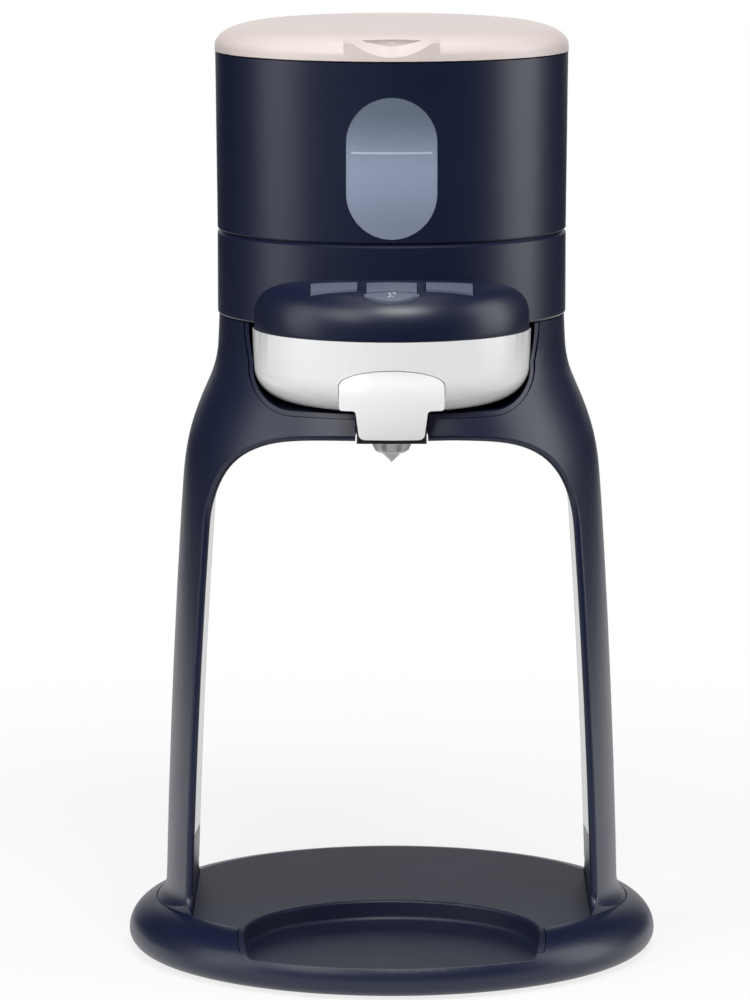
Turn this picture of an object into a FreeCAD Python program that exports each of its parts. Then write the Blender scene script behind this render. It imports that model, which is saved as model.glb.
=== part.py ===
import FreeCAD, Part
import math
import os

# Countertop baby formula maker on a two-legged stand over a round base.
# Sizes are millimetres. Z is up, the front faces -Y, and the origin is under
# the middle of the base, on the surface that the machine stands on.

V = FreeCAD.Vector
X_DIR = V(1, 0, 0)
Y_DIR = V(0, 1, 0)
Z_DIR = V(0, 0, 1)

# Walls, seams and fits
wall = 2.6                  # moulded housings
thin_wall = 2.2             # lid, bowl, dome and tank
seam = 0.3                  # open joint line between fixed mouldings
slide_gap = 0.4             # running gap round parts that lift or slide
pin_fit = 0.05              # radial clearance on a turning pin
far = 400.0                 # longer than anything, for through cuts

# Base
base_radius = 107.0
foot_height = 1.2           # rubber feet under the base ring
rim_widest = 7.5            # height where the rim is widest
rim_tuck = 6.3              # how far the rim rolls under
plate_top = 21.0
plate_radius = 90.5
plate_thickness = 3.0
ledge_thickness = 2.4
ledge_width = 5.0
cover_thickness = 2.2
cover_radius = 97.3
ballast_radius = 62.0
ballast_thickness = 4.5
foot_pad_radius = 9.0
foot_pad_circle = 84.0
cover_screw_circle = 76.0
cover_screw_angles = (30, 90, 150, 205, 335)

# Bottle rest, a round recess that runs out through the front of the rim
rest_radius = 58.5
rest_y = -75.0
rest_depth = 8.2
rest_lip_radius = 104.0
rest_corner = 2.0

# Stand: outer skin radius at named heights
leg_foot_z = 29.0
leg_foot_r = 91.7
leg_middle_z = 106.0
leg_middle_r = 89.0
leg_top_z = 183.0
leg_top_r = 84.8
shoulder_z = 209.5
shoulder_r = 81.8
slope_z = 229.0
slope_r = 75.1
neck_z = 248.0
neck_r = 69.8
stand_top = 259.3
stand_top_r = 69.3
foot_flare = 4.0
foot_flare_radius = 12.0
edge_round = 1.6            # rounded edge round the arch

# Arch between the legs: half widths and heights
arch_foot_x = 80.0
arch_middle_z = 95.0
arch_middle_x = 77.3
arch_spring_z = 176.0
arch_spring_x = 72.5
arch_top = 217.0
liner_thickness = 2.4
liner_half_depth = 36.0
liner_end_front = 52.0      # height of the liner's slanted lower end
liner_end_back = 42.0

# Powder bowl, a round drawer in front of the neck
bowl_radius = 55.4
bowl_y = -34.6
bowl_top = 257.2
bowl_bottom = 228.5
bowl_taper = 1.9            # how far the side leans in above the corner
bowl_corner_z = 15.5        # height of the corner above the bottom
bowl_corner_x = 13.5        # reach of the corner across the bottom
bay_gap = 1.2
bay_wall = 1.8
outlet_y = -58.0
outlet_radius = 7.0

# Mixing spout, T shaped from the front
spout_half_width = 20.5
spout_arch_z = 239.8
spout_arch_rise = 6.1
spout_shoulder_z = 230.6
spout_stem_top = 13.9
spout_stem_bottom = 12.9
spout_bottom = 219.3
spout_depth = 4.0           # radial depth of the niche behind the fascia
spout_bulge = 2.8
chamber_half_width = 13.6
chamber_bottom = 217.2
chamber_front = -86.0
chamber_bore = 9.0
notch_gap = 0.6
nozzle_tip = 206.2
nozzle_radius = 8.4

# Control dome over the bowl
dome_bottom = 257.5
dome_top_z = 279.3
key_travel = 1.2
key_gap = 0.35
key_stem_bottom = 269.6
board_z = 262.6
board_thickness = 1.6
switch_height = 3.0

# Lower head housing
band_radius = 69.9
band_bottom = 259.6
band_top = 292.9
groove_chamfer = 1.0
tray_thickness = 2.5
head_boss_circle = 63.4
head_boss_radius = 4.2
head_boss_angles = (-8, 60, 120, 188)
deck_thickness = 2.5
collar_height = 4.5
collar_width = 2.4
dock_y = 20.0
dock_bore = 8.6
dock_depth = 8.0

# Tank module
sleeve_bottom = 293.0
sleeve_top = 364.0
sleeve_bottom_r = 69.9
sleeve_top_r = 70.6
window_half_width = 17.8
window_bottom = 295.2
window_top = 350.6
tank_radius = 66.4
tank_floor = 297.2
tank_top = 361.4
tank_flange = 1.5
valve_stem_radius = 7.6
valve_bore = 5.0
plunger_radius = 2.0

# Lid and hinge
lid_radius = 70.8
lid_bottom = 364.2
lid_shoulder_r = 62.5
lid_shoulder_z = 372.2
lid_crown_z = 377.0
tab_half_width = 18.6
tab_top = 370.4
tab_scoop_radius = 48.0
tab_scoop_z = 367.0
hinge_y = 74.3
hinge_z = 366.2
knuckle_radius = 3.2
hinge_pin_radius = 1.5
lid_knuckle_half = 7.3
ear_width = 6.0

# Pump, boiler and hoses
hose_radius = 2.6
hose_bend = 6.5
pump_x = 34.0
pump_z = 275.0
pump_radius = 10.5
boiler_x = -31.0
boiler_y = -8.0
boiler_radius = 19.0
boiler_height = 19.0

# Power lead inside the stand
lead_radius = 2.0
gland_radius = 3.9
gland_z = 10.4

# Worked out from the values above
plate_bottom = plate_top - plate_thickness
ring_bottom = foot_height
rest_floor = plate_top - rest_depth
tray_bottom = stand_top + 0.1
tray_top = tray_bottom + tray_thickness
deck_bottom = band_top - 1.0 - deck_thickness
deck_top = deck_bottom + deck_thickness
band_inner = band_radius - wall


def point(plane, u, v):
    """Return a point of a drawing plane as a vector."""
    if plane == "XZ":
        return V(u, 0, v)
    if plane == "YZ":
        return V(0, u, v)
    return V(u, v, 0)


def outline(plane, start, *steps):
    """Close a face: a step is a point, or an arc's middle and end points."""
    edges = []
    here = point(plane, *start)
    first = here
    for step in steps:
        if isinstance(step, Part.Edge):
            edges.append(step)
            here = step.valueAt(step.LastParameter)
        elif isinstance(step[0], tuple):
            middle = point(plane, *step[0])
            end = point(plane, *step[1])
            edges.append(Part.Arc(here, middle, end).toShape())
            here = end
        else:
            end = point(plane, *step)
            edges.append(Part.makeLine(here, end))
            here = end
    if here.distanceToPoint(first) > 1e-6:
        edges.append(Part.makeLine(here, first))
    return Part.Face(Part.Wire(edges))


def ellipse_arc(centre_u, centre_v, half_u, half_v, start_deg, end_deg):
    """Return a stretch of an ellipse in the XZ plane."""
    if abs(half_u - half_v) < 1e-9:
        places = []
        for share in (0.0, 0.5, 1.0):
            angle = math.radians(start_deg + share * (end_deg - start_deg))
            places.append(V(centre_u + half_u * math.cos(angle), 0,
                            centre_v + half_v * math.sin(angle)))
        return Part.Arc(*places).toShape()
    centre = V(centre_u, 0, centre_v)
    if half_u > half_v:
        ellipse = Part.Ellipse(centre + V(half_u, 0, 0), centre + V(0, 0, half_v), centre)
        turn = 0
    else:
        ellipse = Part.Ellipse(centre + V(0, 0, half_v), centre - V(half_u, 0, 0), centre)
        turn = -90
    return Part.ArcOfEllipse(ellipse, math.radians(start_deg + turn),
                             math.radians(end_deg + turn)).toShape()


def curve(plane, points, start_tangent, end_tangent):
    """Return a smooth edge through points with given end directions."""
    spline = Part.BSplineCurve()
    spline.interpolate(Points=[point(plane, *p) for p in points],
                       InitialTangent=point(plane, *start_tangent),
                       FinalTangent=point(plane, *end_tangent))
    return spline.toShape()


def outward(solid):
    """Turn a solid the right side out."""
    if solid.Volume < 0:
        solid.reverse()
    return solid


def raised(face, run, start=V(0, 0, 0)):
    """Extrude a face by a vector, from a start shifted by another."""
    solid = face.extrude(run)
    solid.translate(start)
    return outward(solid)


def lathe(face, x=0.0, y=0.0):
    """Turn an XZ face round the Z axis and stand it at x, y."""
    solid = face.revolve(V(0, 0, 0), Z_DIR, 360)
    solid.translate(V(x, y, 0))
    return outward(solid)


def disc(radius, low, high, x=0.0, y=0.0):
    return Part.makeCylinder(radius, high - low, V(x, y, low))


def ring(outer, inner, low, high, x=0.0, y=0.0):
    return disc(outer, low, high, x, y).cut(disc(inner, low - 1, high + 1, x, y))


def block(x0, x1, y0, y1, z0, z1):
    return Part.makeBox(x1 - x0, y1 - y0, z1 - z0, V(x0, y0, z0))


def through(face, low, high):
    """Extrude an XZ face from y = low to y = high."""
    return raised(face, V(0, high - low, 0), V(0, low, 0))


def polar(radius, degrees):
    angle = math.radians(degrees)
    return radius * math.cos(angle), radius * math.sin(angle)


def mirror_x(shape):
    return shape.mirror(V(0, 0, 0), X_DIR)


def fuse(*shapes):
    result = shapes[0]
    for shape in shapes[1:]:
        result = result.fuse(shape)
    return result.removeSplitter()


def cut(shape, *tools):
    for tool in tools:
        shape = shape.cut(tool)
    return shape.removeSplitter()


def group(shapes):
    return Part.makeCompound(shapes)


def tube_along(points, radius, bend):
    """Sweep a round tube along straight runs joined by tangent arcs."""
    route = [V(*p) for p in points]
    edges = []
    here = route[0]
    for before, corner, after in zip(route, route[1:], route[2:]):
        back = (before - corner).normalize()
        ahead = (after - corner).normalize()
        half = back.getAngle(ahead) / 2.0
        reach = bend / math.tan(half)
        start = corner + back * reach
        end = corner + ahead * reach
        bisector = (back + ahead).normalize()
        middle = corner + bisector * (bend / math.sin(half) - bend)
        edges.append(Part.makeLine(here, start))
        edges.append(Part.Arc(start, middle, end).toShape())
        here = end
    edges.append(Part.makeLine(here, route[-1]))
    path = Part.Wire(edges)
    circle = Part.Circle(route[0], (route[1] - route[0]).normalize(), radius)
    section = Part.Wire([circle.toShape()])
    return path.makePipeShell([section], True, True)


def screw(x, y, head_low, head_high, tip, radius=1.5, head_radius=2.8):
    """A screw along Z with a flat head; tip may be above or below the head."""
    head = disc(head_radius, head_low, head_high, x, y)
    shank = disc(radius, min(tip, head_low), max(tip, head_high), x, y)
    return fuse(head, shank)


# Base ring, plate and what is under them

def rim_solid(inset):
    """The base's outer form, drawn in by inset all over."""
    rise = plate_top - rim_widest - inset
    spread = base_radius - plate_radius - inset
    tuck = rim_tuck - inset
    tuck_centre = base_radius - rim_tuck
    face = outline("XZ",
                   (0, rim_widest - tuck),
                   (tuck_centre, rim_widest - tuck),
                   ellipse_arc(tuck_centre, rim_widest, tuck, tuck, 270, 360),
                   ellipse_arc(plate_radius, rim_widest, spread, rise, 0, 90),
                   (0, rim_widest + rise))
    return lathe(face)


def rest_cutter():
    """The bottle rest's hollow, with a rounded foot and a rounded mouth."""
    mouth = 1.0
    top = plate_top
    face = outline("XZ",
                   (0, rest_floor),
                   (rest_radius - rest_corner, rest_floor),
                   ((rest_radius - 0.29 * rest_corner, rest_floor + 0.29 * rest_corner),
                    (rest_radius, rest_floor + rest_corner)),
                   (rest_radius, top - mouth),
                   ((rest_radius + 0.29 * mouth, top - 0.29 * mouth),
                    (rest_radius + mouth, top)),
                   (rest_radius + mouth, top + 5),
                   (0, top + 5))
    return lathe(face, 0, rest_y)


def rest_cup(gap):
    """The plate's cup round the bottle rest, grown by gap."""
    cup = disc(rest_radius + thin_wall + gap, rest_floor - thin_wall - gap, plate_top + 5,
               0, rest_y)
    return cup.common(disc(rest_lip_radius + gap, 0, plate_top + 5))


def leg_foot_outline(gap):
    """Plan outline of a leg's flared foot on the +X side, grown by gap."""
    inner = arch_foot_x - gap
    reach = leg_foot_r + foot_flare + gap
    half = math.sqrt(plate_radius ** 2 - arch_foot_x ** 2) + 3.0 + 2 * gap
    return outline("XY", (inner, -half), ((reach, 0), (inner, half)))


def leg_foot_seat(gap, low, high):
    right = raised(leg_foot_outline(gap), V(0, 0, high - low), V(0, 0, low))
    return right, outward(mirror_x(right))


def leg_screw_places():
    x = arch_foot_x + 6.2
    return [(sx * x, sy * 20.0) for sx in (-1, 1) for sy in (-1, 1)]


def lead_hole(low, high):
    return disc(lead_radius + 2.2, low, high, arch_foot_x + 5.8, 1.2)


def make_base_ring():
    body = rim_solid(0)
    cavity = rim_solid(wall).common(
        disc(far, ring_bottom + cover_thickness + 2.0, plate_bottom - ledge_thickness))
    seat = disc(plate_radius + seam, plate_bottom, plate_top + 5)
    bore = disc(plate_radius - ledge_width, -5, plate_top + 5)
    cover_seat = disc(cover_radius + seam, -5, ring_bottom + cover_thickness)
    body = cut(body, cavity, seat, bore, cover_seat)
    body = cut(body, rest_cup(seam), rest_cutter())
    body = cut(body, *leg_foot_seat(seam, plate_bottom, plate_top + 5))
    body = cut(body, lead_hole(0, plate_top))
    for x, y in leg_screw_places():
        body = cut(body, disc(1.8, 0, plate_top, x, y))
    gland_bore = Part.makeCylinder(gland_radius + 0.1, 30, V(0, 90, gland_z), Y_DIR)
    return cut(body, gland_bore)


def cover_screw_places():
    return [polar(cover_screw_circle, a) for a in cover_screw_angles]


def make_base_plate():
    plate = disc(plate_radius, plate_bottom, plate_top)
    cup = rest_cup(0).common(rim_solid(0))
    body = cut(fuse(plate, cup), rest_cutter())
    boss_low = ring_bottom + cover_thickness + 0.2
    for x, y in cover_screw_places():
        body = fuse(body, disc(4.0, boss_low, plate_bottom + 1, x, y))
        body = cut(body, disc(1.5, boss_low - 1, plate_bottom - 1, x, y))
    for foot in leg_foot_seat(seam, plate_bottom - 1, plate_top + 1):
        body = cut(body, foot)
    return body


def make_bottom_cover():
    cover = disc(cover_radius, ring_bottom, ring_bottom + cover_thickness)
    for i in range(4):
        x, y = polar(foot_pad_circle, 45 + 90 * i)
        cover = cut(cover, disc(foot_pad_radius + 0.1, -1, ring_bottom + 1.0, x, y))
    for x, y in cover_screw_places():
        cover = cut(cover, disc(1.8, -1, 10, x, y), disc(3.2, -1, ring_bottom + 1.2, x, y))
    return cover


def make_rubber_feet():
    pads = []
    for i in range(4):
        x, y = polar(foot_pad_circle, 45 + 90 * i)
        pads.append(disc(foot_pad_radius, 0, ring_bottom + 1.0, x, y))
    return group(pads)


def make_cover_screws():
    low = ring_bottom + 0.2
    return group([screw(x, y, low, ring_bottom + 1.2, 14.0, 1.5, 3.0)
                  for x, y in cover_screw_places()])


def make_leg_screws():
    head_top = plate_bottom - ledge_thickness
    return group([screw(x, y, head_top - 2.0, head_top, 30.0, 1.45, 2.8)
                  for x, y in leg_screw_places()])


def make_ballast():
    low = ring_bottom + cover_thickness + 0.1
    weight = disc(ballast_radius, low, low + ballast_thickness)
    return cut(weight, disc(12, low - 1, low + 20, 0, 0))


def make_cord_gland():
    """Bush for the mains lead at the back of the base, bored for the lead."""
    outer = base_radius - 0.7
    seat = base_radius - 6.7
    flange_thickness = 2.0
    body = Part.makeCylinder(gland_radius, outer - seat, V(0, seat, gland_z), Y_DIR)
    flange = Part.makeCylinder(gland_radius + 0.7, flange_thickness,
                               V(0, seat - flange_thickness, gland_z), Y_DIR)
    bore = Part.makeCylinder(lead_radius + 0.6, 20, V(0, seat - 6, gland_z), Y_DIR)
    return cut(fuse(body, flange), bore)


# Stand

def stand_side(inset):
    """Edges of the stand's outer skin from foot to neck, drawn in by inset."""
    reach = foot_flare_radius
    flare_centre_r = leg_foot_r + reach
    flare_angle = math.acos((reach - foot_flare) / reach)
    flare_foot_z = leg_foot_z - reach * math.sin(flare_angle)
    half = flare_angle / 2.0
    flare_middle = (flare_centre_r - reach * math.cos(half) - inset,
                    leg_foot_z - reach * math.sin(half))
    foot = (leg_foot_r + foot_flare - inset, flare_foot_z)
    knee = (leg_foot_r - inset, leg_foot_z)
    leg_middle = (leg_middle_r - inset, leg_middle_z)
    leg_top = (leg_top_r - inset, leg_top_z)
    shoulder = curve("XZ",
                     [leg_top,
                      (shoulder_r - inset, shoulder_z),
                      (slope_r - inset, slope_z),
                      (neck_r - inset, neck_z)],
                     (-0.075, 1), (-0.06, 1))
    return foot, (flare_middle, knee), (leg_middle, leg_top), shoulder


def stand_solid(inset):
    foot, flare, leg, shoulder = stand_side(inset)
    top = stand_top + (0 if inset == 0 else 5)
    face = outline("XZ",
                   (0, plate_bottom),
                   (foot[0], plate_bottom),
                   foot, flare, leg, shoulder,
                   (stand_top_r - inset, top),
                   (0, top))
    return lathe(face)


def grown_edge(edge, grow, count):
    """Move an XZ edge away from the opening on its left, by grow."""
    first = edge.FirstParameter
    last = edge.LastParameter
    places = []
    for i in range(count):
        here = edge.valueAt(first + (last - first) * i / (count - 1))
        along = edge.tangentAt(first + (last - first) * i / (count - 1))
        places.append(V(here.x + grow * along.z, 0, here.z - grow * along.x))
    if count == 3:
        return Part.Arc(*places).toShape()
    spline = Part.BSplineCurve()
    spline.interpolate(Points=places, InitialTangent=edge.tangentAt(first),
                       FinalTangent=edge.tangentAt(last))
    return spline.toShape()


def arch_face(grow):
    """Front outline of the opening between the legs, grown outwards."""
    side = Part.Arc(V(arch_foot_x, 0, plate_top),
                    V(arch_middle_x, 0, arch_middle_z),
                    V(arch_spring_x, 0, arch_spring_z)).toShape()
    lean = side.tangentAt(side.LastParameter)
    crown = [(arch_spring_x, arch_spring_z),
             (70.9, 187.0),
             (63.6, 203.3),
             (50.0, 213.0),
             (30.0, 216.5),
             (0.0, arch_top)]
    crown_left = [(-x, z) for x, z in reversed(crown)]
    far_side = Part.Arc(V(-arch_spring_x, 0, arch_spring_z),
                        V(-arch_middle_x, 0, arch_middle_z),
                        V(-arch_foot_x, 0, plate_top)).toShape()
    edges = [grown_edge(side, grow, 3),
             grown_edge(curve("XZ", crown, (lean.x, lean.z), (-1, 0)), grow, 13),
             grown_edge(curve("XZ", crown_left, (-1, 0), (lean.x, -lean.z)), grow, 13),
             grown_edge(far_side, grow, 3)]
    start = edges[0].valueAt(edges[0].FirstParameter)
    end = edges[3].valueAt(edges[3].LastParameter)
    low = -20.0
    return outline("XZ", (end.x, low), (start.x, low), (start.x, start.z), *edges)


def arch_prism(grow, half_depth):
    return through(arch_face(grow), -half_depth, half_depth)


def bowl_side(grow):
    """Edges of the bowl's side from its flat bottom up to its top, grown."""
    flat = bowl_radius - bowl_taper - bowl_corner_x
    corner = (bowl_radius - bowl_taper + grow, bowl_bottom + bowl_corner_z)
    middle = (corner[0] - 0.27 * bowl_corner_x - 0.3 * grow,
              bowl_bottom + 0.27 * bowl_corner_z - 0.7 * grow)
    upper = (bowl_radius - 0.35 * bowl_taper + grow, 0.5 * (corner[1] + bowl_top))
    top = (bowl_radius + grow, bowl_top)
    return (flat, bowl_bottom - grow), (middle, corner), (upper, top)


def bowl_front(grow):
    """Front outline of the bowl, grown, and open upwards."""
    flat, lower, upper = bowl_side(grow)
    high = stand_top + 10
    half = upper[1][0]

    def flip(spot):
        return (-spot[0], spot[1])

    return outline("XZ",
                   (-half, high),
                   flip(upper[1]),
                   (flip(upper[0]), flip(lower[1])),
                   (flip(lower[0]), flip(flat)),
                   flat, lower, upper,
                   (half, high))


def bowl_turned(grow, top):
    """The bowl's outer form as a turned solid, grown."""
    flat, lower, upper = bowl_side(grow)
    face = outline("XZ",
                   (0, flat[1]),
                   flat, lower, upper,
                   (upper[1][0], top + 0.01),
                   (0, top + 0.01))
    return lathe(face, 0, bowl_y).common(block(-far, far, -far, far, 0, top))


def bay_solid(grow, top):
    """Space that the bowl needs to slide out, grown."""
    channel = through(bowl_front(grow), -far, bowl_y)
    channel = channel.common(block(-far, far, -far, far, 0, top))
    return channel.fuse(bowl_turned(grow, top))


def chamber_plan(grow, low, high):
    """Plan form of the mixing chamber: straight sides and a round back."""
    half = chamber_half_width + grow
    front = -far
    face = outline("XY",
                   (-half, front),
                   (half, front),
                   (half, outlet_y),
                   ((0, outlet_y + half), (-half, outlet_y)))
    return raised(face, V(0, 0, high - low), V(0, 0, low))


def spout_notch():
    """Way through the stand for the mixing spout."""
    return chamber_plan(notch_gap, arch_top - 10, bowl_bottom + 6)


def board_post_places():
    return [(-27.0, 33.0), (27.0, 33.0)], [(-27.0, 49.0), (27.0, 49.0)]


power_board_z = 232.0


def make_stand_frame():
    skin = stand_solid(0).cut(arch_prism(0, far))
    rims = [e for e in skin.Edges if on_arch_rim(e)]
    skin = skin.makeFillet(edge_round, rims)
    hollow = stand_solid(wall).cut(arch_prism(wall, far))
    liner_seat = arch_prism(wall, liner_half_depth + 0.2).cut(liner_below(0.2))
    opening = through(bowl_front(bay_gap + bay_wall + 0.2), -far, bowl_y + 4)
    frame = skin.cut(hollow).cut(liner_seat).cut(opening).cut(spout_notch())
    foot_room = fuse(*leg_foot_seat(0, plate_bottom, leg_foot_z + 2),
                     block(-far, far, -far, far, leg_foot_z - 1, stand_top))
    frame = frame.common(foot_room)
    inner_skin = stand_solid(wall - 0.1)
    for a in head_boss_angles:
        x, y = polar(head_boss_circle, a)
        boss = disc(head_boss_radius, stand_top - 14, stand_top, x, y)
        frame = frame.fuse(boss.common(inner_skin))
        frame = frame.cut(disc(1.5, stand_top - 12, stand_top + 1, x, y))
    for x, y in leg_screw_places():
        boss = disc(3.4, plate_bottom, plate_bottom + 16, x, y)
        frame = frame.fuse(boss.common(inner_skin).cut(arch_prism(wall - 0.1, far)))
        frame = frame.cut(disc(1.5, plate_bottom - 1, plate_bottom + 14, x, y))
    for x, y in board_post_places()[1]:
        frame = frame.fuse(disc(3.0, arch_top + 0.4, power_board_z, x, y))
    return frame.removeSplitter()


def on_arch_rim(edge):
    """Tell whether an edge is where the arch meets the stand's outer skin."""
    middle = edge.valueAt(0.5 * (edge.FirstParameter + edge.LastParameter))
    if middle.z < leg_foot_z + 0.5 or abs(middle.y) < 1:
        return False
    if abs(middle.z - leg_foot_z) < 1 or middle.z > arch_top + 0.5:
        return False
    ends = [v.Point for v in edge.Vertexes]
    flat = all(abs(p.z - ends[0].z) < 1e-6 for p in ends)
    return not (flat and abs(middle.z - ends[0].z) < 1e-6)


def liner_below(gap):
    """Region under the liner's slanted lower ends."""
    depth = liner_half_depth + 5
    slope = (liner_end_back - liner_end_front) / (2.0 * liner_half_depth)
    face = outline("YZ",
                   (-depth, -30),
                   (depth, -30),
                   (depth, liner_end_back + slope * 5 - gap),
                   (-depth, liner_end_front - slope * 5 - gap))
    return raised(face, V(2 * far, 0, 0), V(-far, 0, 0))


def make_arch_liner():
    outer = arch_prism(liner_thickness, liner_half_depth)
    liner = outer.cut(arch_prism(0, far)).cut(liner_below(-0.1))
    for x, y in board_post_places()[0]:
        liner = liner.fuse(disc(3.0, arch_top + 0.4, power_board_z, x, y))
    return liner.removeSplitter()


def make_drawer_bay():
    """Dark channel behind the bowl, set into the stand's front opening."""
    outer = bay_solid(bay_gap + bay_wall, stand_top - 0.2)
    inner = bay_solid(bay_gap, stand_top + 5)
    bay = outer.cut(inner).common(stand_solid(0.5)).cut(spout_notch())
    solids = sorted(bay.Solids, key=lambda s: s.Volume)
    return solids[-1].removeSplitter()


# Powder bowl and mixing spout

def spout_upper_face(grow):
    """Front outline of the fascia's upper part, grown."""
    half = spout_half_width + grow
    arch = ellipse_arc(0, spout_arch_z, half, spout_arch_rise + grow, 0, 180)
    low = spout_shoulder_z - grow - 8
    return outline("XZ", (-half, low), (half, low), (half, spout_arch_z), arch, (-half, low))


def about_bowl(radius, low, high):
    return disc(radius, low, high, 0, bowl_y)


def make_powder_bowl():
    shell = bowl_turned(0, bowl_top).cut(bowl_turned(-thin_wall, bowl_top + 5))
    niche_r = bowl_radius - spout_depth
    front = block(-far, far, -far, bowl_y, 0, far)
    pad = through(spout_upper_face(thin_wall + seam), -far, bowl_y)
    pad = pad.common(bowl_turned(0, bowl_top)).common(front)
    pad = pad.cut(about_bowl(niche_r - thin_wall, 0, far))
    bowl = shell.fuse(pad)
    niche = through(spout_upper_face(seam), -far, bowl_y).cut(about_bowl(niche_r, 0, far))
    bowl = bowl.cut(niche)
    bowl = bowl.cut(disc(outlet_radius, 0, far, 0, outlet_y))
    return bowl.removeSplitter()


def spout_front_face():
    """T-shaped front outline of the spout cover."""
    half = spout_half_width
    low = spout_bottom
    r = 2.4
    s = 1.4
    k = 0.29
    arch = ellipse_arc(0, spout_arch_z, half, spout_arch_rise, 0, 180)
    z1 = spout_shoulder_z
    a = spout_stem_top
    b = spout_stem_bottom
    return outline("XZ",
                   (half, spout_arch_z), arch,
                   (-half, z1 + s),
                   ((-half + k * s, z1 + k * s), (-half + s, z1)),
                   (-a - s, z1),
                   ((-a - k * s, z1 - k * s), (-a, z1 - s)),
                   (-b, low + r),
                   ((-b + k * r, low + k * r), (-b + r, low)),
                   (b - r, low),
                   ((b - k * r, low + k * r), (b, low + r)),
                   (a, z1 - s),
                   ((a + k * s, z1 - k * s), (a + s, z1)),
                   (half - s, z1),
                   ((half - k * s, z1 + k * s), (half, z1 + s)))


def spout_bulge_solid():
    """Turned form that gives the fascia its leaning, bulging front."""
    top = spout_arch_z + spout_arch_rise
    side = curve("XZ",
                 [(bowl_radius - 0.2, top + 0.5),
                  (bowl_radius + 0.6 * spout_bulge, spout_arch_z),
                  (bowl_radius + spout_bulge, spout_shoulder_z + 2.0),
                  (bowl_radius + 0.6 * spout_bulge, spout_bottom)],
                 (0.1, -1), (-0.25, -1))
    face = outline("XZ", (0, top + 0.5), (bowl_radius - 0.2, top + 0.5), side,
                   (0, spout_bottom))
    return lathe(face, 0, bowl_y)


def make_spout_cover():
    body = through(spout_front_face(), -far, bowl_y).common(spout_bulge_solid())
    inner_r = bowl_radius - spout_depth + seam
    core = about_bowl(inner_r, spout_shoulder_z - 2.0, far)
    low_core = block(-far, far, chamber_front - 0.1, far, 0, spout_shoulder_z + 0.01)
    return body.cut(core).cut(low_core).removeSplitter()


def make_mixing_chamber():
    top = bowl_bottom - slide_gap
    body = chamber_plan(0, chamber_bottom, top)
    body = body.cut(block(-far, far, -2 * far, chamber_front, 0, far))
    hollow = disc(chamber_bore, chamber_bottom + 2.4, top + 1, 0, outlet_y)
    drain = disc(5.4, 0, far, 0, outlet_y)
    body = cut(body, hollow, drain)
    return body


def make_outlet_seal():
    """Soft ring between the bowl's outlet and the mixing chamber."""
    top = bowl_bottom - 0.1
    low = bowl_bottom - 2.6
    return ring(chamber_bore - 0.1, outlet_radius, low, top, 0, outlet_y)


def make_nozzle():
    """Pointed outlet with flutes, screwed up into the mixing chamber."""
    high = chamber_bottom - 0.05
    face = outline("XZ",
                   (0, nozzle_tip),
                   (3.7, nozzle_tip + 3.6),
                   ((5.4, nozzle_tip + 4.1), (6.7, nozzle_tip + 5.0)),
                   (7.9, nozzle_tip + 7.6),
                   (nozzle_radius, nozzle_tip + 8.6),
                   (nozzle_radius, high),
                   (5.2, high),
                   (5.2, high + 2.2),
                   (0, high + 2.2))
    body = lathe(face, 0, outlet_y)
    for i in range(8):
        x, y = polar(7.6, 22.5 + 45 * i)
        body = body.cut(disc(1.3, nozzle_tip - 1, nozzle_tip + 8.0, x, outlet_y + y))
    body = body.cut(disc(3.2, nozzle_tip + 5.0, far, 0, outlet_y))
    return body.removeSplitter()


# Control dome and keys

def dome_side(inset):
    """Turned outline of the dome round the bowl's axis, drawn in."""
    top = dome_top_z - inset
    edge = bowl_radius - inset
    side = curve("XZ",
                 [(edge, 261.5),
                  (52.6 - 0.9 * inset, 269.2 - 0.5 * inset),
                  (43.8 - 0.4 * inset, 276.5 - 0.9 * inset),
                  (34.0, top)],
                 (-0.05, 1), (-1, 0.14))
    return side, top, edge


def dome_solid(inset, low):
    side, top, edge = dome_side(inset)
    face = outline("XZ", (0, low), (edge, low), (edge, 261.5), side, (0, top))
    return lathe(face, 0, bowl_y)


def key_plan(points, low=key_stem_bottom, high=300.0):
    return raised(outline("XY", *points), V(0, 0, high - low), V(0, 0, low))


def side_key_points(g):
    """Plan of the right-hand key, a band beside the head, grown by g."""
    return [(13.4 - g, -71.6 + g),
            (14.6 - g, -77.2 - g),
            ((23.4, -75.3 - g), (31.4 + g, -71.6 - g)),
            (31.4 + g, -65.2 + g)]


def centre_key_points(g):
    return [(-9.2 - g, -72.2 + g),
            (-10.3 - g, -79.6 - g),
            (10.3 + g, -79.6 - g),
            (9.2 + g, -72.2 + g)]


def front_key_points(g):
    return [(-9.6 - g, -80.6 + g),
            (-11.0 - g, -81.6),
            ((0, -85.6 - g), (11.0 + g, -81.6)),
            (9.6 + g, -80.6 + g)]


def key_top(back_y, back_z, front_y, front_z):
    """Space under a key's slightly sloping top."""
    slope = (front_z - back_z) / (front_y - back_y)
    face = outline("YZ",
                   (-110, 200),
                   (-50, 200),
                   (-50, back_z + slope * (-50 - back_y)),
                   (-110, back_z + slope * (-110 - back_y)))
    return raised(face, V(2 * far, 0, 0), V(-far, 0, 0))


def make_side_key(sign):
    key = key_plan(side_key_points(0)).common(key_top(-66.0, 277.6, -77.0, 276.9))
    return key if sign > 0 else outward(mirror_x(key))


def make_centre_key():
    return key_plan(centre_key_points(0)).common(key_top(-72.0, 278.3, -79.6, 277.1))


def make_front_key():
    return key_plan(front_key_points(0)).common(key_top(-80.6, 275.1, -85.6, 273.1))


def key_apertures():
    right = key_plan(side_key_points(key_gap), 255.0)
    return [right, outward(mirror_x(right)),
            key_plan(centre_key_points(key_gap), 255.0),
            key_plan(front_key_points(key_gap), 255.0)]


def key_centres():
    return [(-23.0, -72.6), (0.0, -76.0), (23.0, -72.6), (0.0, -83.0)]


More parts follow.
